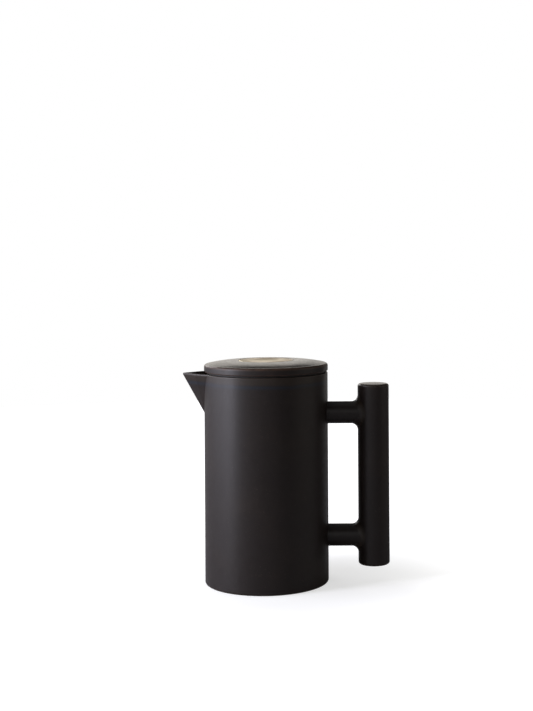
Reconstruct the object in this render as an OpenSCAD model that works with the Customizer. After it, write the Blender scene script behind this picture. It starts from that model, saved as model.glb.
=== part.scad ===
// French press: stoneware pot with a bar handle, a flat lid and a brass knob
// let into it, and a rod-driven mesh filter inside.
// Origin: centre of the flat base. +Z up, handle towards +X, spout towards -X.

/* [Pot] */
// Outer diameter of the pot
pot_d = 108; // [106:1:112]
// Height of the pot's rim above the base
pot_h = 183; // [178:1:200]
// Thickness of the pot's wall
pot_wall_t = 4.2; // [3.8:0.1:4.6]
// Thickness of the pot's floor
pot_floor_t = 7.5; // [6:0.5:9]

/* [Spout] */
// How far the spout's tip stands out from the pot's wall
spout_reach = 19; // [17:1:22]
// Half the width of the spout where it meets the pot, at the rim
spout_half_w = 22.6; // [20:0.2:26]
// Distance from the rim down to the foot of the spout's keel
spout_drop = 38; // [34:1:44]
// Thickness of the spout's wall
spout_wall_t = 2.3; // [2:0.1:3.2]

/* [Handle] */
// Diameter of the upright bar
post_d = 27.4; // [26:0.2:30]
// Length of the upright bar
post_len = 158.2; // [150:0.2:165]
// Clear gap for the fingers, between the pot and the bar
finger_gap = 26.2; // [24:0.2:32]
// Diameter of the two arms
arm_d = 19.3; // [17:0.1:20]
// Distance between the two arms' axes
arm_pitch = 107.3; // [100:0.1:112]
// Height of the middle of the handle
handle_mid_z = 93.8; // [90:0.1:100]
// Radius of the concave blend where an arm meets the bar
arm_blend = 5.8; // [4:0.1:6.5]

/* [Lid] */
// How far the lid stands out past the pot's wall
lid_overhang = 0.2; // [0:0.1:1]
// Height of the lid's edge
lid_edge_h = 6.6; // [6.3:0.1:8]
// Rise of the lid's top from its edge to the knob
lid_rise = 3; // [2:0.1:3.5]
// Gap between the pot's rim and the lid
lid_gap = 1.3; // [1:0.1:2]

/* [Knob] */
// Diameter of the knob
knob_d = 47.4; // [44:0.2:50]
// Diameter of the dish in the knob's top
dish_d = 25; // [20:0.5:30]
// Depth of the dish
dish_depth = 1.3; // [0.8:0.1:1.5]

/* [Plunger] */
// Diameter of the rod
rod_d = 5; // [4.8:0.1:5.4]
// Height of the filter above the pot's floor when the plunger is down
filter_clear = 16.5; // [14:0.5:30]
// Gap between the filter's edge and the pot's wall
filter_gap = 0.6; // [0.5:0.1:1.5]

/* [Hidden] */
$fn = 96;

glaze = "#2b2624";
brass = "#c9b78f";
steel = "#b9bcc0";
rubber = "#1b1a1a";

eps = 0.01;
fine = 32;
pot_r = pot_d / 2;
bore_r = pot_r - pot_wall_t;

// Spout: the keel leans out from the pot in a straight line
tip_r = 2;
tip_x = tip_r - pot_r - spout_reach;
side_r = pot_r - tip_r - 0.3;
side_y = spout_half_w - tip_r;
side_base = [-sqrt(side_r * side_r - side_y * side_y), side_y];
side_bulge = 1;
lip_round = 1.3;
lip_steps = [[lip_round, 0], [0.5, 0.2], [eps, 0.65]];
keel_r = 1.5;
keel_foot = [2.8 - pot_r, 0, pot_h - spout_drop];
channel_r = 1;
channel_foot = keel_foot + [6, 0, -2.4];

// Handle
post_r = post_d / 2;
arm_r = arm_d / 2;
post_x = pot_r + finger_gap + post_r;

// Lid levels
lid_z = pot_h + lid_gap;
lid_edge_z = lid_z + lid_edge_h;
lid_top_z = lid_edge_z + lid_rise;
lid_r = pot_r + lid_overhang;
lid_shoulder = 2.2;
dome_power = 4;
recess_depth = 5;
recess_z = lid_top_z - recess_depth;
knob_r = knob_d / 2;
recess_r = knob_r + 0.4;
spigot_r = bore_r - 3.8;
spigot_t = 3.5;
spigot_z = pot_h - 6.7;

// Guide through the lid
guide_r = 8;
guide_hole_r = guide_r + 0.3;
guide_flange_r = 12;
washer_t = 0.6;
flange_t = 0.8;
flange_z = recess_z + washer_t;
cup_r = 6.2;
cup_z = lid_z - 9.3;
guide_z = cup_z - 8;
rod_r = rod_d / 2;
rod_fit = 0.06;
seal_section = 0.85;
seal_z = cup_z - 3.9;
liner_t = 0.8;
guide_nut_h = 4.2;
guide_nut_flats = 22;

// Knob levels
knob_z = recess_z + 0.7;
knob_top_z = lid_top_z + 0.2;
knob_relief_r = guide_flange_r + 2;
knob_relief_z = flange_z + flange_t + 1.1;
cushion_in = 17.1;
cushion_out = 20.9;
cushion_t = 1.3;
stem_r = 5.6;
stem_z = cup_z + 3.6;
nut_h = 2.7;
nut_flats = 8;

// Filter levels
hub_r = 8;
hub_h = 6.9;
hub_z = pot_floor_t + filter_clear;
plate_z = hub_z + hub_h;
plate_t = 1;
mesh_z = plate_z + plate_t;
mesh_t = 0.5;
mesh_r = bore_r - filter_gap;
mesh_turn = 2;
mesh_rim_h = 5.6;
plate_r = mesh_r - 8.2;
disc_z = mesh_z + mesh_t;
disc_t = 0.8;
coil_r = 2.3;
coil_ring_r = mesh_r - mesh_t - coil_r - 0.1;
coil_z = disc_z + coil_r + 0.3;
rod_z = hub_z + 2;
rod_top_z = knob_relief_z - 2.6;

// Rings of holes through the filter's discs: how many, hole radius, ring radius
outer_holes = [16, 4, 35];
inner_holes = [8, 4.5, 20];
plate_holes = [8, 8.5, 28.5];

// Points on an arc from angle a0 to a1, in degrees
function arc(cx, cy, r, a0, a1, n = 6) =
    [for (i = [0:n]) let (a = a0 + (a1 - a0) * i / n) [cx + r * cos(a), cy + r * sin(a)]];

// Point at the angle turn on a ring of radius r round the X axis
function tube_point(x, r, turn) = [x, r * cos(turn), r * sin(turn)];

// Height of the lid's shallow dome at radius r: flat in the middle, falling towards the edge
function dome_z(r) = lid_top_z - lid_rise * pow(r / (lid_r - lid_shoulder), dome_power);

// ---- Pot ----

// Outline of the spout seen from above, drawn in by the distance inset
module spout_plan(inset) {
    side = [side_base.x - tip_x, side_base.y];
    out = [-side.y, side.x] / norm(side);
    sharpen = min(inset, 1) * 0.7;
    hull() {
        translate([tip_x + inset * norm(side) / side.y, 0]) circle(r = tip_r - sharpen, $fn = fine);
        for (s = [-1, 1]) scale([1, s]) {
            translate([tip_x, 0] + side / 2 + out * (side_bulge - inset)) circle(r = tip_r, $fn = fine);
            translate(side_base - out * inset) circle(r = tip_r, $fn = fine);
        }
    }
}

// A thin slice of the spout at height z, drawn in by inset
module spout_slice(z, inset) {
    translate([0, 0, z]) linear_extrude(height = eps) spout_plan(inset);
}

// The spout's outer form, from its rounded lip down to the foot of its keel. The lip's
// steps are how far below the rim each slice is, and how far it is drawn in.
module spout_form() {
    hull() {
        for (step = lip_steps) spout_slice(pot_h - step[0], step[1]);
        translate(keel_foot) sphere(r = keel_r, $fn = fine);
    }
}

// The channel in the spout, which runs on through the pot's wall
module channel_form() {
    hull() {
        translate([0, 0, pot_h - lip_round]) linear_extrude(height = 2 * lip_round) spout_plan(spout_wall_t);
        translate(channel_foot) sphere(r = channel_r, $fn = fine);
    }
}

// The pot is one casting, drawn as its wall and its floor. They meet on the floor's top plane.
module pot_wall() {
    rim = 0.9;
    cove = 2;
    profile = concat(
        [[bore_r - cove, pot_floor_t], [pot_r, pot_floor_t]],
        arc(pot_r - rim, pot_h - rim, rim, 0, 90),
        arc(bore_r + rim, pot_h - rim, rim, 90, 180),
        arc(bore_r - cove, pot_floor_t + cove, cove, 0, -84)
    );
    color(glaze) difference() {
        rotate_extrude() polygon(profile);
        channel_form();
    }
}

module pot_floor() {
    foot = 1.8;
    profile = concat(
        [[0, 0]],
        arc(pot_r - foot, foot, foot, -90, 0),
        [[pot_r, pot_floor_t], [0, pot_floor_t]]
    );
    color(glaze) rotate_extrude() polygon(profile);
}

module spout() {
    color(glaze) difference() {
        spout_form();
        channel_form();
        cylinder(r = pot_r, h = 2 * pot_h);
    }
}

// One arm, lying along +X from the pot's wall. Its surface is a grid of rings: a plain
// tube, then a concave blend that lands on the bar's round face all the way round.
module arm() {
    side_blend = 2.6;
    bite = 0.03;
    start_x = pot_r - 12;
    sides = 48;
    steps = 8;
    start = [for (a = [0:sides - 1]) tube_point(start_x, arm_r, 360 * a / sides)];
    blend = [for (i = [0:steps], a = [0:sides - 1])
        let (t = 90 * i / steps, turn = 360 * a / sides,
            rho = side_blend + (arm_blend - side_blend) * pow(sin(turn), 2),
            r = arm_r + rho * (1 - cos(t)),
            face_x = post_x - sqrt(pow(post_r - bite, 2) - pow(r * cos(turn), 2)))
        tube_point(face_x - rho * (1 - sin(t)), r, turn)];
    end = [for (a = [0:sides - 1])
        let (turn = 360 * a / sides, rho = side_blend + (arm_blend - side_blend) * pow(sin(turn), 2))
        tube_point(post_x - 1, arm_r + rho, turn)];
    rings = steps + 3;
    skin = [for (k = [0:rings - 2], a = [0:sides - 1])
        let (b = (a + 1) % sides, row = k * sides, next = row + sides)
        each [[row + a, next + b, row + b], [row + a, next + a, next + b]]];
    near_cap = [for (a = [0:sides - 1]) a];
    far_cap = [for (a = [sides - 1:-1:0]) (rings - 1) * sides + a];
    polyhedron(points = concat(start, blend, end), faces = concat(skin, [near_cap, far_cap]));
}

module handle() {
    edge = 2.2;
    end_z = handle_mid_z - post_len / 2;
    bar = concat(
        [[0, 0]],
        arc(post_r - edge, edge, edge, -90, 0),
        arc(post_r - edge, post_len - edge, edge, 0, 90),
        [[0, post_len]]
    );
    color(glaze) difference() {
        union() {
            translate([post_x, 0, end_z]) rotate_extrude() polygon(bar);
            for (s = [-1, 1]) translate([0, 0, handle_mid_z + s * arm_pitch / 2]) arm();
        }
        cylinder(r = pot_r, h = 2 * pot_h);
    }
}

// ---- Lid ----

module lid() {
    heel = 0.8;
    recess_lip = 0.6;
    dome_in = recess_r + recess_lip;
    dome_out = lid_r - lid_shoulder;
    dome = [for (i = [0:8]) let (r = dome_out + (dome_in - dome_out) * i / 8) [r, dome_z(r)]];
    profile = concat(
        [[guide_hole_r, lid_z], [spigot_r - spigot_t, lid_z], [spigot_r - spigot_t, spigot_z]],
        [[spigot_r, spigot_z], [spigot_r, lid_z]],
        arc(lid_r - heel, lid_z + heel, heel, -90, 0),
        arc(lid_r - lid_shoulder, lid_edge_z - lid_shoulder, lid_shoulder, 0, 85),
        dome,
        arc(dome_in, dome_z(dome_in) - recess_lip, recess_lip, 92, 180),
        [[recess_r, recess_z], [guide_hole_r, recess_z]]
    );
    color(glaze) rotate_extrude() polygon(profile);
}

// Silicone ring: a flange between lid and rim, and a sleeve with three lips
module lid_gasket() {
    sleeve_r = spigot_r + 1.2;
    lip_r = bore_r - 0.5;
    flange_r = pot_r - 2.3;
    lip_pitch = 2.3;
    lips = [for (i = [0:2], p = [[sleeve_r, 0.4], [lip_r, 0.9], [lip_r, 1.3], [sleeve_r, 1.8]])
        [p.x, spigot_z + lip_pitch * i + p.y]];
    profile = concat(
        [[spigot_r, spigot_z], [sleeve_r, spigot_z]],
        lips,
        [[sleeve_r, pot_h], [flange_r, pot_h], [flange_r, lid_z], [spigot_r, lid_z]]
    );
    color(rubber) rotate_extrude() polygon(profile);
}

// Pressed plate under the lid, with its edge turned down inside the spigot
module lid_liner() {
    r = spigot_r - spigot_t - 0.3;
    bend = 1.6;
    skirt = 4;
    profile = concat(
        [[guide_hole_r, lid_z - liner_t], [guide_hole_r, lid_z]],
        arc(r - bend, lid_z - bend, bend, 90, 0),
        [[r, lid_z - skirt], [r - liner_t, lid_z - skirt]],
        arc(r - bend, lid_z - bend, bend - liner_t, 0, 90)
    );
    color(steel) rotate_extrude() polygon(profile);
}

// A flat ring from z up, with the thickness h
module ring(r_in, r_out, z, h) {
    translate([0, 0, z]) difference() {
        cylinder(r = r_out, h = h);
        translate([0, 0, -1]) cylinder(r = r_in, h = h + 2);
    }
}

module guide_washer() {
    inset = 0.2;
    color(rubber) ring(guide_r + inset, guide_flange_r - inset, recess_z, washer_t);
}

// Flanged bush: a cup for the knob's stem above, a close bore for the rod below
module plunger_guide() {
    groove_h = 2 * seal_section + 0.3;
    groove_r = rod_r + 2 * seal_section + 0.15;
    color(steel) difference() {
        union() {
            translate([0, 0, guide_z]) cylinder(r = guide_r, h = flange_z - guide_z + eps);
            translate([0, 0, flange_z]) cylinder(r = guide_flange_r, h = flange_t);
        }
        translate([0, 0, guide_z - 1]) cylinder(r = rod_r + rod_fit, h = cup_z - guide_z + 2);
        translate([0, 0, cup_z]) cylinder(r = cup_r, h = flange_z + flange_t - cup_z + 1);
        translate([0, 0, seal_z - groove_h / 2]) cylinder(r = groove_r, h = groove_h);
    }
}

// A hexagonal nut, flats wide, on a thread of radius r
module hex_nut(flats, r, z, h) {
    translate([0, 0, z]) difference() {
        cylinder(r = flats / sqrt(3), h = h, $fn = 6);
        translate([0, 0, -1]) cylinder(r = r, h = h + 2);
    }
}

module guide_nut() {
    color(steel) hex_nut(guide_nut_flats, guide_r, lid_z - liner_t - guide_nut_h, guide_nut_h);
}

module rod_seal() {
    color(rubber) translate([0, 0, seal_z]) rotate_extrude()
        translate([rod_r + rod_fit + seal_section, 0]) circle(r = seal_section, $fn = fine);
}

// ---- Plunger ----

// A shallow drum with a dished top, a relief under it and a groove for the cushion
module knob() {
    edge = 0.4;
    heel = 0.3;
    brow = 0.4;
    groove_fit = 0.1;
    groove_in = cushion_in - groove_fit;
    groove_out = cushion_out + groove_fit;
    groove_z = recess_z + cushion_t;
    dish_r = dish_d / 2;
    dish = [for (i = [0:8]) let (r = dish_r * (1 - i / 8))
        [r, knob_top_z - dish_depth * (1 - pow(r / dish_r, 2))]];
    profile = concat(
        [[0, knob_relief_z], [knob_relief_r, knob_relief_z], [knob_relief_r, knob_z]],
        [[groove_in, knob_z], [groove_in, groove_z], [groove_out, groove_z], [groove_out, knob_z]],
        [[knob_r - heel, knob_z], [knob_r, knob_z + heel]],
        arc(knob_r - edge, knob_top_z - brow - edge, edge, 0, 80),
        dish
    );
    color(brass) rotate_extrude() polygon(profile);
}

// Soft ring in the knob's groove, on which the knob rests in the lid
module knob_cushion() {
    color(rubber) ring(cushion_in, cushion_out, recess_z, cushion_t);
}

// Steel stem brazed under the knob, with the rod's threaded hole in it
module knob_stem() {
    brazed_r = 10;
    brazed_t = 0.7;
    color(steel) difference() {
        union() {
            translate([0, 0, stem_z]) cylinder(r = stem_r, h = knob_relief_z - stem_z - brazed_t + eps);
            translate([0, 0, knob_relief_z - brazed_t]) cylinder(r = brazed_r, h = brazed_t);
        }
        translate([0, 0, stem_z - 1]) cylinder(r = rod_r, h = rod_top_z - stem_z + 1);
    }
}

module knob_lock_nut() {
    color(steel) hex_nut(nut_flats, rod_r, stem_z - nut_h, nut_h);
}

module plunger_rod() {
    color(steel) translate([0, 0, rod_z]) cylinder(r = rod_r, h = rod_top_z - rod_z);
}

module disc_nut() {
    color(steel) hex_nut(nut_flats, rod_r, disc_z + disc_t, nut_h);
}

module coil_envelope() {
    translate([0, 0, coil_z]) rotate_extrude()
        translate([coil_ring_r, 0]) circle(r = coil_r, $fn = 48);
}

// Cutters for one ring of holes: holes = [how many, hole radius, ring radius]
module hole_ring(holes) {
    for (i = [0:holes[0] - 1]) rotate([0, 0, 360 * i / holes[0]])
        translate([holes[2], 0, 0]) cylinder(r = holes[1], h = 4 * plate_t, center = true);
}

// Perforated disc, grooved at its edge where the coil lies in it
module spring_disc() {
    color(steel) difference() {
        ring(rod_r, coil_ring_r - 1, disc_z, disc_t);
        coil_envelope();
        translate([0, 0, disc_z]) {
            hole_ring(outer_holes);
            hole_ring(inner_holes);
        }
    }
}

// Envelope of the coil spring that runs round the filter's edge
module edge_spring() {
    color(steel) coil_envelope();
}

// Fine woven mesh, its edge turned up outside the coil
module mesh_screen() {
    profile = concat(
        [[rod_r, mesh_z]],
        arc(mesh_r - mesh_turn, mesh_z + mesh_turn, mesh_turn, -90, 0),
        [[mesh_r, mesh_z + mesh_rim_h], [mesh_r - mesh_t, mesh_z + mesh_rim_h]],
        arc(mesh_r - mesh_turn, mesh_z + mesh_turn, mesh_turn - mesh_t, 0, -90),
        [[rod_r, mesh_z + mesh_t]]
    );
    color(steel) rotate_extrude() polygon(profile);
}

// Plate with eight large openings that backs the mesh
module cross_plate() {
    color(steel) difference() {
        ring(rod_r, plate_r, plate_z, plate_t);
        translate([0, 0, plate_z]) hole_ring(plate_holes);
    }
}

// Round nut with a domed foot that clamps the filter on the rod
module filter_hub() {
    dome = 3;
    profile = concat(
        [[0, hub_z]],
        arc(hub_r - dome, hub_z + dome, dome, -90, 0),
        [[hub_r, plate_z], [rod_r, plate_z], [rod_r, rod_z], [0, rod_z]]
    );
    color(steel) rotate_extrude() polygon(profile);
}

pot_wall();
pot_floor();
spout();
handle();
lid();
lid_gasket();
lid_liner();
guide_washer();
plunger_guide();
guide_nut();
rod_seal();
knob();
knob_stem();
knob_cushion();
knob_lock_nut();
plunger_rod();
disc_nut();
spring_disc();
edge_spring();
mesh_screen();
cross_plate();
filter_hub();
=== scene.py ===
"""Looks of the french press: a satin stoneware pot with a bar handle, a domed lid with a brass
knob let into it, and the steel filter inside. Shapes are in millimetres until their mesh is
made; materials, lights and camera are in metres."""
import math

import bmesh
import bpy
from mathutils import Matrix, Vector

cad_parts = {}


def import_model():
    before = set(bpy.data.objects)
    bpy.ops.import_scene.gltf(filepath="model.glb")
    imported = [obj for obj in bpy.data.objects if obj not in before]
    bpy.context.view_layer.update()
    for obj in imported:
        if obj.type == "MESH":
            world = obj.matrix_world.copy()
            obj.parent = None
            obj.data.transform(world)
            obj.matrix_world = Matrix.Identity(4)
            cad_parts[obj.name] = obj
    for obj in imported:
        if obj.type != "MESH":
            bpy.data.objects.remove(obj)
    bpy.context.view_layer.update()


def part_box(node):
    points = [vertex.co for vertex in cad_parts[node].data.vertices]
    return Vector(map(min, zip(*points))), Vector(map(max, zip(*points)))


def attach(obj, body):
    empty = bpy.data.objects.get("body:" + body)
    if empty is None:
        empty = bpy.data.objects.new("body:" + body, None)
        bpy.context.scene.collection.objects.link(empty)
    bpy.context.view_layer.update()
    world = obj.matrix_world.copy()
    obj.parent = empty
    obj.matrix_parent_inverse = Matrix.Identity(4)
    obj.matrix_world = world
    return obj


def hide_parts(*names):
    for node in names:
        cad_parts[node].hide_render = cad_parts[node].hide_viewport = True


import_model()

MM = 0.001
TURNS = 2 * math.pi
SMOOTH_ANGLE = math.radians(34)
GUARD_MOST = 0.6   # furthest that a point guarding a fillet's shading stands from it
END_WEAR = 0.3     # wear where a fillet starts and ends; its middle has 1


# ---------------------------------------------------------------- sizes, read from the frame

def span(node):
    """Lowest and highest corner of a CAD node, in millimetres."""
    low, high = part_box(node)
    return low / MM, high / MM


def levels(node):
    low, high = span(node)
    return low.z, high.z


def radius(node):
    return span(node)[1].y


pot_r, pot_h = radius("pot_wall"), levels("pot_wall")[1]
pot_floor_z = levels("pot_floor")[1]
pot_wall = 4.2
bore_r = pot_r - pot_wall

lid_r = radius("lid")
lid_z = levels("lid_gasket")[1]
lid_edge_height = 6.6
lid_edge_z = lid_z + lid_edge_height
lid_hole_r = 8.3
spigot_r = 46.0
spigot_z = levels("lid")[0]
recess_z = levels("guide_washer")[0]
knob_r = radius("knob")
knob_z, knob_top = levels("knob")
rod_r = radius("plunger_rod")


# ---------------------------------------------------------------- mesh building

def new_object(name, verts, faces, wear=None):
    """A smooth-shaded object from millimetre points, with an optional wear weight per point."""
    mesh = bpy.data.meshes.new(name)
    mesh.from_pydata([(x * MM, y * MM, z * MM) for x, y, z in verts], [], faces)
    work = bmesh.new()
    work.from_mesh(mesh)
    bmesh.ops.recalc_face_normals(work, faces=work.faces)
    work.to_mesh(mesh)
    work.free()
    if wear:
        layer = mesh.attributes.new("wear", "FLOAT", "POINT")
        layer.data.foreach_set("value", wear)
    obj = bpy.data.objects.new(name, mesh)
    bpy.context.scene.collection.objects.link(obj)
    shade(obj)
    return obj


def shade(obj):
    obj.data.shade_smooth()
    obj.data.set_sharp_from_angle(angle=SMOOTH_ANGLE)


def rounded(corners, steps=7, closed=True):
    """Outline through (r, z, fillet) corners as a list of (r, z, wear): corners become arcs, and
    a guard point just outside each arc keeps the shading of the straight runs flat."""
    out = []
    count = len(corners)
    for i, (r, z, fillet) in enumerate(corners):
        here = Vector((r, z))
        if fillet <= 0 or (not closed and i in (0, count - 1)):
            out.append((r, z, 0.0))
            continue
        before = Vector(corners[i - 1][:2]) - here
        after = Vector(corners[(i + 1) % count][:2]) - here
        a, b = before.normalized(), after.normalized()
        half = a.angle(b) / 2
        reach = fillet / math.tan(half)
        centre = here + (a + b).normalized() * (fillet / math.sin(half))
        start, end = here + a * reach, here + b * reach
        guard = min(0.5 * fillet, GUARD_MOST)
        if before.length > reach + guard * 2:
            out.append((*(start + a * guard), 0.0))
        u, v = start - centre, end - centre
        sweep = u.angle_signed(v)
        for k in range(steps + 1):
            t = k / steps
            turn = -sweep * t
            sine, cosine = math.sin(turn), math.cos(turn)
            p = centre + Vector((u.x * cosine - u.y * sine, u.x * sine + u.y * cosine))
            out.append((*p, math.sin(math.pi * t) ** 0.5 if 0 < t < 1 else END_WEAR))
        if after.length > reach + guard * 2:
            out.append((*(end + b * guard), 0.0))
    return out


def lathe(name, outline, segments, closed=True, shift=None):
    """Turns an outline of (r, z, wear) about Z. shift(r, z, turn) may return a new (r, z)."""
    verts, faces, wear, rows = [], [], [], []
    for r, z, w in outline:
        if r < 1e-6:
            rows.append([len(verts)] * segments)
            verts.append((0, 0, z))
            wear.append(w)
            continue
        row = []
        for k in range(segments):
            turn = TURNS * k / segments
            rr, zz = shift(r, z, turn) if shift else (r, z)
            row.append(len(verts))
            verts.append((rr * math.cos(turn), rr * math.sin(turn), zz))
            wear.append(w)
        rows.append(row)
    pairs = list(zip(rows, rows[1:]))
    if closed:
        pairs.append((rows[-1], rows[0]))
    for low, high in pairs:
        for k in range(segments):
            n = (k + 1) % segments
            face = list(dict.fromkeys((low[k], low[n], high[n], high[k])))
            if len(face) > 2:
                faces.append(face)
    return new_object(name, verts, faces, wear)


def loft(name, rings, wears=None):
    """A closed skin through rings of points, all with the same count, capped at both ends."""
    count = len(rings[0])
    verts = [p for ring in rings for p in ring]
    wear = [w for w, ring in zip(wears, rings) for _ in ring] if wears else None
    faces = []
    for i in range(len(rings) - 1):
        for k in range(count):
            n = (k + 1) % count
            faces.append((i * count + k, i * count + n, (i + 1) * count + n, (i + 1) * count + k))
    faces.append(list(range(count))[::-1])
    faces.append([(len(rings) - 1) * count + k for k in range(count)])
    return new_object(name, verts, faces, wear)


def combine(target, tool, operation):
    """Boolean of target with tool, applied to target's mesh; tool is removed."""
    mod = target.modifiers.new("cut", "BOOLEAN")
    mod.operation = operation
    mod.solver = "EXACT"
    mod.object = tool
    graph = bpy.context.evaluated_depsgraph_get()
    mesh = bpy.data.meshes.new_from_object(target.evaluated_get(graph))
    target.modifiers.clear()
    old = target.data
    target.data = mesh
    mesh.name = target.name
    bpy.data.meshes.remove(old)
    bpy.data.objects.remove(tool)
    clean(target)


def clean(obj):
    """Merges points that a boolean left on top of each other."""
    work = bmesh.new()
    work.from_mesh(obj.data)
    bmesh.ops.remove_doubles(work, verts=work.verts, dist=0.002 * MM)
    bmesh.ops.dissolve_degenerate(work, edges=work.edges, dist=0.001 * MM)
    work.to_mesh(obj.data)
    work.free()
    shade(obj)


def stand_for(obj, nodes, body, material):
    """The finished piece replaces CAD nodes and rides on their body."""
    obj.data.materials.clear()
    obj.data.materials.append(material)
    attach(obj, body)
    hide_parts(*nodes.split())


# ---------------------------------------------------------------- materials

class Graph:
    """Small helper to wire a material's nodes."""

    def __init__(self, name):
        self.material = bpy.data.materials.new(name)
        self.material.use_nodes = True
        self.nodes = self.material.node_tree.nodes
        self.links = self.material.node_tree.links
        self.nodes.clear()
        self.shader = self.nodes.new("ShaderNodeBsdfPrincipled")
        out = self.nodes.new("ShaderNodeOutputMaterial")
        self.links.new(self.shader.outputs[0], out.inputs[0])
        coords = self.nodes.new("ShaderNodeTexCoord")
        self.place = coords.outputs["Object"]

    def add(self, kind, inputs=None, **props):
        node = self.nodes.new("ShaderNode" + kind)
        for key, value in props.items():
            setattr(node, key, value)
        for key, value in (inputs or {}).items():
            self.put(node.inputs[key], value)
        return node

    def put(self, socket, value):
        if isinstance(value, bpy.types.NodeSocket):
            self.links.new(value, socket)
        else:
            socket.default_value = value

    def noise(self, scale, detail=3.0, roughness=0.55, place=None):
        return self.add("TexNoise", {"Vector": place or self.place, "Scale": scale,
                                     "Detail": detail, "Roughness": roughness}).outputs["Fac"]

    def math(self, operation, *values):
        node = self.add("Math", operation=operation)
        for socket, value in zip(node.inputs, values):
            self.put(socket, value)
        return node.outputs[0]

    def remap(self, value, low, high, to_low=0.0, to_high=1.0):
        """Value from one range to the other, eased at both ends and held beyond them."""
        return self.add("MapRange", {"Value": value, "From Min": low, "From Max": high,
                                     "To Min": to_low, "To Max": to_high},
                        interpolation_type="SMOOTHSTEP").outputs[0]

    def mix(self, factor, a, b):
        node = self.add("Mix", data_type="RGBA")
        self.put(node.inputs[0], factor)
        self.put(node.inputs[6], a)
        self.put(node.inputs[7], b)
        return node.outputs[2]

    def wear(self):
        return self.add("Attribute", attribute_name="wear").outputs["Fac"]

    def bump(self, height, distance, strength, normal=None):
        node = self.add("Bump", {"Height": height, "Distance": distance, "Strength": strength})
        if normal:
            self.put(node.inputs["Normal"], normal)
        return node.outputs[0]

    def axes(self):
        return self.add("SeparateXYZ", {"Vector": self.place}).outputs

    def across(self):
        """Distance from the Z axis."""
        x, y, _ = self.axes()
        squares = self.math("ADD", self.math("MULTIPLY", x, x), self.math("MULTIPLY", y, y))
        return self.math("SQRT", squares)

    def set(self, **values):
        for key, value in values.items():
            self.put(self.shader.inputs[key.replace("_", " ")], value)


def glaze(name, rim=False, polished=None, thin_colour=(0.030, 0.021, 0.015)):
    """Satin iron-black glaze: mottled, browner where it runs thin at edges, and smoother above
    the height polished. With rim it also has the pot's brown lip, a faint blue line under the
    lip where two dips overlap, and bare clay at the foot."""
    g = Graph(name)
    cloud = g.noise(26, 4)
    break_up = g.noise(210, 4, 0.6)
    grain = g.noise(1500, 2)
    wear = g.wear()
    z = g.axes()[2]
    thin = g.math("MULTIPLY", wear, g.remap(break_up, 0.3, 0.7, 0.35, 0.9))
    if rim:
        wobble = g.math("ADD", z, g.math("MULTIPLY", g.math("SUBTRACT", cloud, 0.5), 0.004))
        dipped = g.remap(wobble, (pot_h - 8) * MM, (pot_h - 5) * MM, 0.0, 0.5)
        thin = g.math("MAXIMUM", thin, dipped)
    thin = g.math("ADD", thin, g.remap(cloud, 0.45, 0.75, 0.0, 0.22))
    colour = g.mix(g.math("MINIMUM", thin, 1.0), (0.0130, 0.0088, 0.0080, 1), (*thin_colour, 1))
    if rim:
        rising = g.remap(wobble, (pot_h - 11) * MM, (pot_h - 8) * MM)
        falling = g.remap(wobble, (pot_h - 8) * MM, (pot_h - 6) * MM, 1.0, 0.0)
        colour = g.mix(g.math("MULTIPLY", rising, falling), colour, (0.0125, 0.0135, 0.0190, 1))
    specks = g.remap(g.noise(900, 1, 0.4), 0.70, 0.76, 0.0, 0.5)
    colour = g.mix(specks, colour, (0.045, 0.034, 0.026, 1))
    if rim:
        raw = g.remap(z, 0.2 * MM, 0.7 * MM, 0.85, 0.0)
        colour = g.mix(raw, colour, (0.10, 0.085, 0.07, 1))
    rough = g.remap(break_up, 0.25, 0.75, 0.36, 0.43)
    rough = g.math("ADD", rough, g.math("MULTIPLY", grain, 0.05))
    if polished:
        smoother = g.remap(z, (polished - 0.6) * MM, (polished + 0.1) * MM, 0.0, 0.2)
        rough = g.math("SUBTRACT", rough, smoother)
    normal = g.bump(cloud, 0.35 * MM, 0.5)
    normal = g.bump(break_up, 0.06 * MM, 0.5, normal)
    normal = g.bump(grain, 0.02 * MM, 0.4, normal)
    g.set(Base_Color=colour, Roughness=rough, IOR=1.36, Normal=normal)
    return g.material


def brass(name):
    """Turned brass: fine rings round the axis, a little tarnish."""
    g = Graph(name)
    rings_per_metre = 5200
    along = g.math("MULTIPLY", g.across(), rings_per_metre)
    cloud = g.noise(60, 4)
    rings = g.noise(1.0, 2, place=g.add("CombineXYZ", {"X": along}).outputs[0])
    wear = g.wear()
    colour = g.mix(g.remap(cloud, 0.35, 0.7), (0.66, 0.55, 0.37, 1), (0.52, 0.42, 0.27, 1))
    colour = g.mix(g.math("MULTIPLY", wear, 0.5), colour, (0.82, 0.72, 0.52, 1))
    rough = g.math("ADD", g.remap(cloud, 0.3, 0.7, 0.24, 0.34), g.math("MULTIPLY", rings, 0.08))
    g.set(Base_Color=colour, Metallic=1.0, Roughness=rough, Anisotropic=0.3,
          Normal=g.bump(rings, 0.01 * MM, 0.5))
    return g.material


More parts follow.
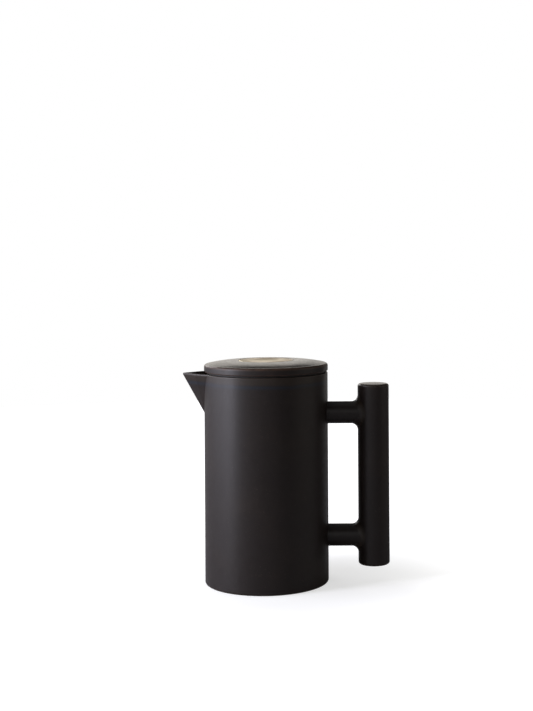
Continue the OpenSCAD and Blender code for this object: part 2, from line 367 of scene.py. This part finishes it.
def steel(name, lines="face", colour=(0.56, 0.56, 0.57)):
    """Stainless steel with fine lines: round the axis on a face or on a wall, or along the axis
    where it is drawn."""
    g = Graph(name)
    cloud = g.noise(90, 4)
    x, y, z = g.axes()
    if lines == "drawn":
        stretch = {"X": (x, 3000), "Y": (y, 3000), "Z": (z, 30)}
    else:
        stretch = {"X": (z if lines == "wall" else g.across(), 6000)}
    place = g.add("CombineXYZ", {axis: g.math("MULTIPLY", *pair) for axis, pair in stretch.items()})
    scratch = g.noise(1.0, 2, place=place.outputs[0])
    wear = g.wear()
    base = g.mix(g.remap(cloud, 0.3, 0.75), (*colour, 1), (*[c * 0.82 for c in colour], 1))
    base = g.mix(g.math("MULTIPLY", wear, 0.4), base, (0.72, 0.72, 0.72, 1))
    rough = g.math("ADD", g.remap(cloud, 0.3, 0.7, 0.2, 0.3), g.math("MULTIPLY", scratch, 0.12))
    g.set(Base_Color=base, Metallic=1.0, Roughness=rough, Normal=g.bump(scratch, 0.008 * MM, 0.5))
    return g.material


def silicone(name):
    """Matt black rubber with a fine skin."""
    g = Graph(name)
    cloud = g.noise(120, 3)
    grain = g.noise(2200, 2)
    wear = g.wear()
    colour = g.mix(g.remap(cloud, 0.3, 0.7), (0.010, 0.010, 0.010, 1), (0.018, 0.017, 0.017, 1))
    colour = g.mix(g.math("MULTIPLY", wear, 0.4), colour, (0.035, 0.034, 0.034, 1))
    g.set(Base_Color=colour, Roughness=g.remap(grain, 0.2, 0.8, 0.55, 0.7),
          Normal=g.bump(grain, 0.02 * MM, 0.5))
    return g.material


def woven(name):
    """Fine woven wire: two crossed families of wires, over and under each other."""
    g = Graph(name)
    x, y, z = g.axes()
    wire_pitch = 0.45 * MM
    warp, weft, rise = (g.math("SINE", g.math("MULTIPLY", axis, math.pi / wire_pitch))
                        for axis in (x, y, z))
    cross = g.math("MAXIMUM", g.math("ABSOLUTE", warp), g.math("ABSOLUTE", weft))
    weave = g.math("ADD", cross, g.math("MULTIPLY", rise, 0.3))
    cloud = g.noise(70, 3)
    # the near-black colour between the wires is painted shade in the gaps of the weave
    colour = g.mix(g.remap(cross, 0.35, 0.95), (0.06, 0.06, 0.06, 1), (0.62, 0.61, 0.60, 1))
    colour = g.mix(g.remap(cloud, 0.4, 0.8, 0.0, 0.25), colour, (0.30, 0.27, 0.23, 1))
    g.set(Base_Color=colour, Metallic=1.0, Roughness=g.remap(cross, 0.3, 1.0, 0.55, 0.32),
          Normal=g.bump(weave, 0.12 * MM, 0.7))
    return g.material


GLAZE_POT = glaze("glaze_pot", rim=True)
GLAZE_LID = glaze("glaze_lid", polished=lid_edge_z, thin_colour=(0.060, 0.031, 0.019))
GLAZE_HANDLE = glaze("glaze_handle", polished=levels("handle")[1] - 0.8)
BRASS = brass("brass_turned")
STEEL = steel("steel_turned")
STEEL_ROD = steel("steel_drawn", "drawn", (0.60, 0.60, 0.61))
STEEL_WALL = steel("steel_side_turned", "wall")
SILICONE = silicone("silicone_black")
WOVEN = woven("woven_wire")


# ---------------------------------------------------------------- spout and pot

tip_r = 2.0
lip_round = 1.3      # height of the outer rounding of the lip
lip_draw = 0.65      # how far that rounding draws in
mouth_round = 0.9    # rounding on the lip's inner side
side_bulge = 1.0
spout_half_width = 22.6
spout_drop = 38
spout_wall = 1.7     # just under the lip; thicker below
tip = Vector((span("spout")[0].x + tip_r, 0))
side_y = spout_half_width - tip_r
side_base = Vector((-math.sqrt((pot_r - tip_r - 0.3) ** 2 - side_y ** 2), side_y))
keel_foot = Vector((2.8 - pot_r, 0, pot_h - spout_drop))
channel_foot = keel_foot + Vector((6, 0, -2.4))


def spout_plan(inset):
    """Outline of the spout from above, drawn in by inset: (point, normal) pairs from one side
    round the tip to the other."""
    side = side_base - tip
    out = Vector((-side.y, side.x)).normalized()
    lean = math.degrees(math.atan2(side_bulge, side.length / 2))
    middle = math.degrees(math.atan2(out.y, out.x))
    inner_tip = tip + Vector((inset * side.length / side.y, 0))
    inner_tip_r = tip_r - 0.7 * min(inset, 1)
    arcs = [
        (inner_tip, inner_tip_r, 180, middle + lean, 10),
        (tip + side / 2 + out * (side_bulge - inset), tip_r, middle + lean, middle - lean, 8),
        (side_base - out * inset, tip_r, middle - lean, 60, 10),
    ]
    half = []
    for centre, r, start, end, count in arcs:
        for k in range(count + 1):
            a = math.radians(start + (end - start) * k / count)
            normal = Vector((math.cos(a), math.sin(a)))
            half.append((centre + normal * r, normal))
    mirrored = [(Vector((p.x, -p.y)), Vector((n.x, -n.y))) for p, n in half[1:]]
    return half[::-1] + mirrored


def spout_rings(plan, foot, foot_r, lip):
    """Rings from the keel's foot up to the lip; lip is a list of (height, inset)."""
    rows = 26
    rings = []
    for k in range(rows + 1):
        t = k / rows
        z = foot.z + (lip[0][0] - foot.z) * t
        points = [(Vector(foot.xy) + n * foot_r).lerp(p, t) for p, n in plan]
        rings.append([(p.x, p.y, z) for p in points])
    for z, inset in lip[1:]:
        rings.append([(p.x - n.x * inset, p.y - n.y * inset, z) for p, n in plan])
    return rings


def quarter(count):
    """Sine and one minus cosine over a quarter turn."""
    turns = [math.pi / 2 * k / count for k in range(count + 1)]
    return [(math.sin(t), 1 - math.cos(t)) for t in turns]


def spout_form():
    """The spout as a solid wedge, from its keel up to its rounded lip."""
    lip = [(pot_h - lip_round * (1 - rise), lip_draw * inset) for rise, inset in quarter(9)]
    rings = spout_rings(spout_plan(0), keel_foot, 1.5, lip)
    lip_wears = [0.15, 0.3, 0.5, 0.7, 0.85, 1, 1, 1, 0.8]
    wears = [0.0] * (len(rings) - len(lip_wears)) + lip_wears
    return loft("pouring_spout", rings, wears)


def channel_form(name):
    """What the coffee runs through: it cuts the spout hollow and opens the pot's wall."""
    lip = [(pot_h - mouth_round * (1 - rise), -mouth_round * inset) for rise, inset in quarter(6)]
    lip.append((pot_h + 3, lip[-1][1]))
    return loft(name, spout_rings(spout_plan(spout_wall), channel_foot, 1.0, lip))


def cylinder(name, r, low, high):
    return lathe(name, [(0, low, 0), (r, low, 0), (r, high, 0), (0, high, 0)], 256, closed=False)


def pot():
    corners = [
        (0, 0, 0), (pot_r, 0, 1.8), (pot_r, pot_h, 0.95), (bore_r, pot_h, 0.95),
        (bore_r, pot_floor_z, 2), (0, pot_floor_z, 0),
    ]
    body = lathe("pot", rounded(corners, closed=False), 256, closed=False)
    combine(body, channel_form("mouth_cutter"), "DIFFERENCE")
    stand_for(body, "pot_wall pot_floor", "pot", GLAZE_POT)
    lip = spout_form()
    combine(lip, channel_form("channel_cutter"), "DIFFERENCE")
    combine(lip, cylinder("pot_cutter", pot_r - 0.25, -5, pot_h + 20), "DIFFERENCE")
    stand_for(lip, "spout", "pot", GLAZE_POT)


def handle():
    """The upright bar, with two arms that flare into it by a radius that is wider above and
    below than at the sides."""
    low, high = span("handle")
    post_r = high.y
    post_x = high.x - post_r
    mid_z = (low.z + high.z) / 2
    arm_r, arm_pitch, blend_side, blend_top = 9.65, 107.3, 2.6, 5.8
    edge, crown = 2.2, 0.3
    corners = [
        (0, low.z, 0), (post_r, low.z, edge), (post_r, high.z - crown, edge),
        (post_r - 4, high.z - 0.6 * crown, 3), (4, high.z, 0), (0, high.z, 0),
    ]
    bar = lathe("handle_bar", rounded(corners, closed=False), 160, closed=False)
    for v in bar.data.vertices:
        v.co.x += post_x * MM
    sides, steps = 96, 14
    around = [TURNS * k / sides for k in range(sides)]
    into_pot, into_bar, under_skin, guard = 2.5, 1.0, 0.03, 1.0
    for side in (-1, 1):
        z_mid = mid_z + side * arm_pitch / 2

        def at(x, r, a):
            return x, r * math.cos(a), z_mid + r * math.sin(a)

        rings = [[at(pot_r - into_pot, arm_r, a) for a in around]]
        for k in range(-1, steps + 1):
            t = math.pi / 2 * max(k, 0) / steps
            ring = []
            for a in around:
                blend = blend_side + (blend_top - blend_side) * math.sin(a) ** 2
                r = arm_r + blend * (1 - math.cos(t))
                face = post_x - math.sqrt((post_r - under_skin) ** 2 - (r * math.cos(a)) ** 2)
                x = face - blend * (1 - math.sin(t)) - (guard if k < 0 else 0.0)
                ring.append(at(x, r, a))
            rings.append(ring)
        widest = [arm_r + blend_side + (blend_top - blend_side) * math.sin(a) ** 2 for a in around]
        rings.append([at(post_x - into_bar, r, a) for r, a in zip(widest, around)])
        combine(bar, loft("handle_arm", rings), "UNION")
    stand_for(bar, "handle", "pot", GLAZE_HANDLE)


# ---------------------------------------------------------------- lid

def lid():
    """Flat in the middle and falling away towards its shoulder, with the knob's recess on top
    and the spigot that the gasket sits on below."""
    shoulder, recess_r, recess_edge, spigot_in = 2.2, knob_r + 0.4, 0.6, 42.5
    dome_top, dome_power, dome_steps = knob_top - 0.2, 4, 14
    rise = dome_top - lid_edge_z
    outer, inner = lid_r - shoulder, recess_r + recess_edge
    outline = rounded([
        (lid_hole_r, lid_z, 0.3), (spigot_in, lid_z, 0.8), (spigot_in, spigot_z, 1.0),
        (spigot_r, spigot_z, 1.0), (spigot_r, lid_z, 0.4), (lid_r, lid_z, 0.8),
        (lid_r, lid_edge_z, shoulder), (outer - 0.2, lid_edge_z + 0.03, 0),
    ], closed=False)
    dome = [outer + (inner - outer) * k / dome_steps for k in range(1, dome_steps + 1)]
    outline += [(r, dome_top - rise * (r / outer) ** dome_power, 0) for r in dome]
    lip = outline[-1][1]
    for k in range(1, 7):
        a = math.radians(90 + 90 * k / 6)
        outline.append((inner + recess_edge * math.cos(a),
                        lip - recess_edge + recess_edge * math.sin(a), 0.8))
    outline += rounded([
        (recess_r, lip - 1, 0), (recess_r, recess_z, 0.4), (lid_hole_r, recess_z, 0.3),
        (lid_hole_r, lid_z + 1, 0),
    ], closed=False)
    stand_for(lathe("lid_disc", outline, 224), "lid", "lid", GLAZE_LID)


def gasket():
    """A sleeve with three lips and a flange, which shows as the dark line under the lid."""
    low, high = span("lid_gasket")
    sleeve_r, lip_r, flange_r = 47.2, bore_r - 0.5, high.y
    corners = [(spigot_r, low.z, 0.2), (sleeve_r, low.z, 0.3)]
    for i in range(3):
        z = low.z + 0.4 + i * 2.3
        corners += [(sleeve_r, z, 0.15), (lip_r, z + 0.5, 0.15), (lip_r, z + 0.9, 0.15),
                    (sleeve_r, z + 1.4, 0.15)]
    corners += [(sleeve_r, pot_h, 0.2), (flange_r, pot_h, 0.3), (flange_r, high.z, 0.3),
                (spigot_r, high.z, 0.2)]
    made = lathe("silicone_ring", rounded(corners, 3), 192)
    stand_for(made, "lid_gasket", "gasket", SILICONE)


def washer(name, node, body, r_in, edge):
    """A flat rubber ring with its edges rounded by edge."""
    low, high = span(node)
    corners = [(r_in, low.z, edge), (high.y, low.z, edge), (high.y, high.z, edge),
               (r_in, high.z, edge)]
    stand_for(lathe(name, rounded(corners, 4), 128), node, body, SILICONE)


def thread(pitch, depth, z_low, z_high, r_near):
    """A shift that cuts a helical thread into a wall of radius r_near between two heights."""
    def shift(r, z, turn):
        if abs(r - r_near) > 0.05 or not z_low < z < z_high:
            return r, z
        phase = (z / pitch - turn / TURNS) % 1.0
        ease = min(1.0, (z - z_low) / pitch, (z_high - z) / pitch)
        return r - depth * ease * (1 - abs(2 * phase - 1)), z
    return shift


def wall_points(r, low, high, step):
    """Points up a straight wall, close enough for a thread."""
    count = int((high - low) / step)
    return [(r, low + (high - low) * k / count, 0.0) for k in range(count + 1)]


def liner():
    """A pressed plate with a turned-down rim and one stiffening bead."""
    low, high = span("lid_liner")
    r, t, bead = high.y, 0.8, 0.6
    under = high.z - t
    corners = [
        (lid_hole_r, under, 0.1), (lid_hole_r, high.z, 0.1), (r, high.z, 1.6), (r, low.z, 0.25),
        (r - t, low.z, 0.25), (r - t, under, 0.9), (34, under, 0.5), (33, under - bead, 0.5),
        (30, under - bead, 0.5), (29, under, 0.5),
    ]
    stand_for(lathe("liner_plate", rounded(corners, 5), 160), "lid_liner", "lid", STEEL)


def guide():
    """A flanged bush, threaded outside for its nut, with a cup for the stem and a groove for the
    rod's seal inside."""
    low, high = span("plunger_guide")
    flange_r, r, cup_r, groove_r, bore = high.y, 8.0, 6.2, 4.35, rod_r + 0.06
    cup_z, flange_z = lid_z - 9.3, high.z - 0.8
    seal_low, seal_high = levels("rod_seal")
    groove_low, groove_high = seal_low - 0.15, seal_high + 0.15
    pitch = 1.0
    outline = [(r - 0.6, low.z, 0.3)] + wall_points(r, low.z + 0.6, lid_z - 0.8, pitch / 6)
    outline += rounded([
        (r, lid_z - 0.7, 0), (r, flange_z, 0.1), (flange_r, flange_z, 0.15),
        (flange_r, high.z, 0.3), (cup_r, high.z, 0.4), (cup_r, cup_z, 0.3), (bore, cup_z, 0.3),
        (bore, groove_high, 0), (groove_r, groove_high, 0), (groove_r, groove_low, 0),
        (bore, groove_low, 0), (bore, low.z, 0),
    ], 5, closed=False)
    cut = thread(pitch, 0.5, low.z + 0.5, lid_z - 1.0, r)
    made = lathe("guide_bush", outline, 128, shift=cut)
    stand_for(made, "plunger_guide", "lid", STEEL_WALL)


def hex_nut(name, node, body, bore):
    """A nut with turned chamfers: the hexagon's wall drops to a cone at both faces. The
    outline holds the wall as outside plus the depth below the nearer face, and shift turns that
    into a radius."""
    outside, chamfer, sixth = 100, 0.35, math.pi / 3
    low, high = span(node)
    corner_r = high.x
    flat_r = corner_r * math.cos(sixth / 2)
    drop = (corner_r - flat_r) * 0.75
    depths = [drop * k / 6 for k in range(7)]
    rows = [(low.z + d, d) for d in depths] + [(high.z - d, d) for d in reversed(depths)]
    outline = [(bore, (low.z + high.z) / 2, 0), (bore, low.z + chamfer, 0),
               (bore + chamfer, low.z, 0.6)]
    outline += [(outside + d, z, 0.5 if d < 0.2 else 0.0) for z, d in rows]
    outline += [(bore + chamfer, high.z, 0.6), (bore, high.z - chamfer, 0)]

    def shift(r, z, turn):
        if r < outside:
            return r, z
        side = (turn + sixth / 2) % sixth - sixth / 2
        hexagon = flat_r / math.cos(abs(side) - sixth / 2)
        cone = flat_r - 0.02 + (r - outside) * math.tan(math.radians(60))
        return min(hexagon, cone), z

    stand_for(lathe(name, outline, 120, shift=shift), node, body, STEEL)


def ring_seal():
    """An O-ring of round section."""
    low, high = span("rod_seal")
    section = (high.z - low.z) / 2
    centre_r, centre_z = high.y - section, (high.z + low.z) / 2
    turns = [TURNS * k / 24 for k in range(24)]
    outline = [(centre_r + section * math.cos(a), centre_z + section * math.sin(a), 0)
               for a in turns]
    stand_for(lathe("o_ring", outline, 96), "rod_seal", "seal", SILICONE)


# ---------------------------------------------------------------- plunger

def knob():
    """A disc with a dish in its gently falling top, and below a relief for the stem and a groove
    for the cushion ring."""
    edge, brow, dish_r, dish_depth, dish_edge = 0.4, 0.4, 12.5, 1.3, 0.12
    relief_r, relief_z = 14.0, levels("knob_stem")[1]
    groove_in, groove_out, groove_z = 17.0, 21.0, levels("knob_cushion")[1]
    outline = rounded([
        (0, relief_z, 0), (relief_r, relief_z, 0.5), (relief_r, knob_z, 0.3),
        (groove_in, knob_z, 0.1), (groove_in, groove_z, 0.1), (groove_out, groove_z, 0.1),
        (groove_out, knob_z, 0.1), (knob_r, knob_z, 0.35), (knob_r, knob_top - 1.6, 0),
    ], 5, closed=False)
    for k in range(9):
        a = math.radians(84 * k / 8)
        outline.append((knob_r - edge + edge * math.cos(a),
                        knob_top - brow - edge + edge * math.sin(a), 0.9 if 0 < k < 8 else 0.3))
    start_r, start_z, _ = outline[-1]
    for k in range(1, 9):
        t = k / 8
        outline.append((start_r + (dish_r + 0.8 - start_r) * t,
                        start_z + (knob_top - start_z) * math.sin(t * math.pi / 2), 0))
    for k in range(13):
        r = dish_r * (1 - k / 12)
        sink = dish_edge + (dish_depth - dish_edge) * (1 - (r / dish_r) ** 2)
        outline.append((r, knob_top - sink, 0.5 if k == 0 else 0))
    stand_for(lathe("brass_knob", outline, 192, closed=False), "knob", "plunger", BRASS)


def stem():
    """A socket for the rod's end, brazed under the knob by its flange."""
    low, high = span("knob_stem")
    flange_r, flange_z, r, socket_z = high.y, high.z - 0.7, 5.6, high.z - 2.4
    outline = rounded([
        (rod_r, low.z, 0.25), (r, low.z, 0.6), (r, flange_z, 0.5), (flange_r, flange_z, 0.2),
        (flange_r, high.z, 0), (0, high.z, 0), (0, socket_z, 0), (rod_r, socket_z, 0),
    ], 5)
    stand_for(lathe("stem", outline, 96), "knob_stem", "plunger", STEEL_WALL)


def rod():
    """The rod, threaded at both ends."""
    low, high = span("plunger_rod")
    pitch, depth, chamfer = 0.8, 0.42, 0.5
    bottom_end, top_start = levels("disc_nut")[1] + 4.5, levels("knob_lock_nut")[0] - 5
    middle = (bottom_end + top_start) / 2
    outline = [(0, low.z, 0), (rod_r - chamfer, low.z, 0.5)]
    outline += wall_points(rod_r, low.z + chamfer, bottom_end, pitch / 6)
    outline += [(rod_r, bottom_end + 1, 0), (rod_r, middle, 0), (rod_r, top_start - 1, 0)]
    outline += wall_points(rod_r, top_start, high.z - chamfer, pitch / 6)
    outline += [(rod_r - chamfer, high.z, 0.5), (0, high.z, 0)]
    lower = thread(pitch, depth, low.z + chamfer, bottom_end, rod_r)
    upper = thread(pitch, depth, top_start, high.z - chamfer, rod_r)

    def shift(r, z, turn):
        return lower(r, z, turn) if z < middle else upper(r, z, turn)

    made = lathe("rod", outline, 48, closed=False, shift=shift)
    stand_for(made, "plunger_rod", "plunger", STEEL_ROD)


def hole_cutters(name, count, r, pitch_r, z):
    """One object of round cutters, set in a ring."""
    reach, sides = 4, 48
    verts, faces = [], []
    for i in range(count):
        mid = TURNS * i / count
        cx, cy = pitch_r * math.cos(mid), pitch_r * math.sin(mid)
        low = len(verts)
        high = low + sides
        for level in (z - reach, z + reach):
            for k in range(sides):
                a = TURNS * k / sides
                verts.append((cx + r * math.cos(a), cy + r * math.sin(a), level))
        for k in range(sides):
            n = (k + 1) % sides
            faces.append((low + k, low + n, high + n, high + k))
        faces.append([low + k for k in range(sides)][::-1])
        faces.append([high + k for k in range(sides)])
    return new_object(name, verts, faces)


def spring_disc():
    """The perforated disc that the coil is wound round."""
    low, high = span("spring_disc")
    edge_r = high.y
    outline = rounded([
        (rod_r, low.z, 0.1), (edge_r, low.z, 0.15), (edge_r, low.z + 0.35, 0.1),
        (edge_r - 0.9, high.z, 0.2), (rod_r, high.z, 0.1),
    ], 4)
    made = lathe("filter_disc", outline, 160)
    combine(made, hole_cutters("holes_out", 16, 4.0, 35, low.z), "DIFFERENCE")
    combine(made, hole_cutters("holes_in", 8, 4.5, 20, low.z), "DIFFERENCE")
    stand_for(made, "spring_disc", "plunger", STEEL)


def edge_spring():
    """The coil: wire wound round a ring, as one closed tube."""
    low, high = span("edge_spring")
    coil_r = (high.z - low.z) / 2
    ring_r, mid_z = high.y - coil_r, (high.z + low.z) / 2
    wire, wraps, steps, sides = 0.34, 118, 14, 7
    wound = coil_r - wire
    up = Vector((0, 0, 1))
    verts, faces = [], []
    total = wraps * steps
    for i in range(total):
        around = TURNS * i / total
        wrap = TURNS * i / steps
        out = Vector((math.cos(around), math.sin(around), 0))
        centre = out * (ring_r + wound * math.cos(wrap)) + up * (mid_z + wound * math.sin(wrap))
        spoke = out * math.cos(wrap) + up * math.sin(wrap)
        along = (up.cross(out) * (ring_r + wound * math.cos(wrap)) / wraps
                 + (up * math.cos(wrap) - out * math.sin(wrap)) * wound).normalized()
        side = along.cross(spoke).normalized()
        for k in range(sides):
            a = TURNS * k / sides
            verts.append(tuple(centre + spoke * (wire * math.cos(a)) + side * (wire * math.sin(a))))
    for i in range(total):
        n = (i + 1) % total
        for k in range(sides):
            m = (k + 1) % sides
            faces.append((i * sides + k, i * sides + m, n * sides + m, n * sides + k))
    stand_for(new_object("coil", verts, faces), "edge_spring", "plunger", STEEL_ROD)


def mesh_screen():
    """A shallow cup of woven wire."""
    low, high = span("mesh_screen")
    r, t = high.y, 0.5
    corners = [(rod_r, low.z, 0), (r, low.z, 2.0), (r, high.z, 0.15), (r - t, high.z, 0.15),
               (r - t, low.z + t, 1.5), (rod_r, low.z + t, 0)]
    stand_for(lathe("screen", rounded(corners, 6), 160), "mesh_screen", "plunger", WOVEN)


def cross_plate():
    """The plate that backs the mesh, with eight large openings."""
    low, high = span("cross_plate")
    r = high.y
    corners = [(rod_r, low.z, 0.1), (r, low.z, 0.35), (r, high.z, 0.35), (rod_r, high.z, 0.1)]
    made = lathe("backing_plate", rounded(corners, 4), 144)
    combine(made, hole_cutters("petals", 8, 8.5, 28.5, low.z), "DIFFERENCE")
    stand_for(made, "cross_plate", "plunger", STEEL)


def hub():
    """A domed round nut with shallow flutes to grip."""
    low, high = span("filter_hub")
    r, dome, rod_end = high.y, 3.0, levels("plunger_rod")[0]
    flutes, flute_depth, flutes_from, flutes_top = 18, 0.35, 6.0, high.z - 0.9

    def shift(r_here, z, turn):
        if z >= flutes_top or r_here <= flutes_from:
            return r_here, z
        depth = flute_depth * min(1.0, (r_here - flutes_from) / 1.5)
        return r_here - depth * (0.5 + 0.5 * math.cos(flutes * turn)), z

    outline = [(0, low.z, 0)]
    for k in range(9):
        a = math.radians(90 * k / 8)
        outline.append((r - dome + dome * math.sin(a), low.z + dome - dome * math.cos(a), 0.3))
    outline += [
        (r, low.z + dome + 0.8, 0), (r, high.z - 1.0, 0), (r, high.z - 0.8, 0.4),
        (r - 0.2, high.z, 0.5), (rod_r, high.z, 0), (rod_r, rod_end, 0), (0, rod_end, 0),
    ]
    made = lathe("hub_nut", outline, 216, closed=False, shift=shift)
    stand_for(made, "filter_hub", "plunger", STEEL_WALL)


pot()
handle()
lid()
gasket()
liner()
guide()
washer("soft_washer", "guide_washer", "lid", 8.2, 0.2)
washer("knob_ring", "knob_cushion", "plunger", 17.1, 0.4)
hex_nut("clamp_nut", "guide_nut", "lid", 8.0)
hex_nut("stem_nut", "knob_lock_nut", "plunger", rod_r)
hex_nut("thin_nut", "disc_nut", "plunger", rod_r)
ring_seal()
knob()
stem()
rod()
spring_disc()
edge_spring()
mesh_screen()
cross_plate()
hub()


# ---------------------------------------------------------------- studio

WHITE = (1, 1, 1)
WINDOW_TINT = (0.95, 0.96, 1.08)
WALL_TINT = (1.0, 0.95, 0.88)


def camera():
    """Long lens, level but for a hair, to the right of the press's axis and higher than its
    lid. The shift brings the press back into the frame without turning the camera."""
    data = bpy.data.cameras.new("camera")
    data.sensor_width = 36
    data.lens = 68.1367
    data.shift_x, data.shift_y = -0.122082, -0.159916
    data.clip_end = 50
    obj = bpy.data.objects.new("camera", data)
    obj.location = (0.07726, -1.18192, 0.29374)
    pitch, roll = math.radians(-0.156), math.radians(0.346)
    obj.rotation_mode = "XYZ"
    look = Matrix.Rotation(math.pi / 2 - pitch, 4, "X") @ Matrix.Rotation(-roll, 4, "Z")
    obj.rotation_euler = look.to_euler()
    bpy.context.scene.collection.objects.link(obj)
    bpy.context.scene.camera = obj


def panel(name, place, aim, size, radiance, colour):
    """A rectangle of soft light that the camera doesn't see, as bright as radiance says
    whatever its size."""
    data = bpy.data.lights.new(name, "AREA")
    data.shape = "RECTANGLE"
    data.size, data.size_y = size
    data.energy = math.pi * size[0] * size[1] * radiance
    data.color = colour
    obj = bpy.data.objects.new(name, data)
    obj.location = place
    obj.rotation_euler = (Vector(aim) - Vector(place)).to_track_quat("-Z", "Y").to_euler()
    obj.visible_camera = False
    bpy.context.scene.collection.objects.link(obj)


def floor():
    """A pale table. The camera sees it paler than the press does, and glowing, more so away
    from the press, so that the set fades to white; the dimmer glow close to the press is
    painted shade round it. The press sees it as plain mid grey."""
    g = Graph("studio_floor")
    cloud = g.noise(3, 2)
    colour = g.mix(cloud, (0.35, 0.35, 0.35, 1), (0.37, 0.37, 0.37, 1))
    seen = g.add("LightPath").outputs["Is Camera Ray"]
    colour = g.mix(seen, colour, (0.50, 0.50, 0.50, 1))
    # the glow is dimmer close to the press: painted shade round it, deepening its shadow on the
    # floor
    glow = g.math("MULTIPLY", seen, g.remap(g.across(), 0.07, 0.25, 0.62, 1.0))
    g.set(Base_Color=colour, Roughness=0.9, IOR=1.2,
          Emission_Color=(1, 1, 1, 1), Emission_Strength=glow)
    floor_r, below, sides = 1400, -0.05, 64
    turns = [TURNS * k / sides for k in range(sides)]
    rim = [(floor_r * math.cos(a), floor_r * math.sin(a), below) for a in turns]
    obj = new_object("studio_floor", rim, [list(range(sides))])
    obj.data.materials.append(g.material)


def world():
    """White to the camera; to the press it is black, so that only the panels light it."""
    made = bpy.data.worlds.new("studio")
    made.use_nodes = True
    nodes, links = made.node_tree.nodes, made.node_tree.links
    nodes.clear()
    out = nodes.new("ShaderNodeOutputWorld")
    seen = nodes.new("ShaderNodeBackground")
    seen.inputs[1].default_value = 1.0
    seen.inputs[0].default_value = (1, 1, 1, 1)
    room = nodes.new("ShaderNodeBackground")
    room.inputs[1].default_value = 0.0
    path = nodes.new("ShaderNodeLightPath")
    mix = nodes.new("ShaderNodeMixShader")
    links.new(path.outputs["Is Camera Ray"], mix.inputs[0])
    links.new(room.outputs[0], mix.inputs[1])
    links.new(seen.outputs[0], mix.inputs[2])
    links.new(mix.outputs[0], out.inputs[0])
    bpy.context.scene.world = made


def studio():
    floor()
    world()
    middle = (0, 0, 0.1)
    for name, place, aim, size, radiance, colour in (
        ("window_near", (-1.36, -0.63, 0.75), (0, 0, 0.75), (0.42, 1.5), 14, WINDOW_TINT),
        ("window_far", (-1.5, -0.05, 0.75), (0, 0, 0.75), (0.85, 1.5), 4.3, WINDOW_TINT),
        ("left_wall", (-1.8, 0.9, 0.7), (0, 0, 0.7), (1.4, 1.8), 0.8, WINDOW_TINT),
        ("back_left", (-1.8, 2.2, 1.25), (-1.8, 0, 1.25), (1.8, 0.9), 5.5, WHITE),
        ("back_middle", (-0.52, 2.2, 0.6), (-0.52, 0, 0.6), (1.04, 1.0), 1.05, WALL_TINT),
        ("back_right", (0.31, 2.2, 0.5), (0.31, 0, 0.5), (0.62, 0.8), 0.8, WALL_TINT),
        ("back_low", (-0.3, 2.2, -0.05), (-0.3, 0, -0.05), (3.0, 0.4), 0.5, WHITE),
        ("right_back", (1.3, 1.9, 0.5), (0, 0, 0.5), (0.9, 1.4), 0.4, WALL_TINT),
        ("right", (1.5, -0.2, 0.6), middle, (1.5, 1.2), 0.7, WALL_TINT),
        ("front", (0.3, -2.4, 0.9), middle, (1.6, 1.4), 0.72, WHITE),
        ("front_left", (-0.8, -1.5, 0.7), (0, 0, 0.3), (0.9, 1.4), 1.0, WHITE),
        ("ceiling", (0, 0.3, 2.0), middle, (2.2, 2.2), 0.31, WHITE),
    ):
        panel(name, place, aim, size, radiance, colour)
    bpy.context.scene.view_settings.view_transform = "Standard"


camera()
studio()
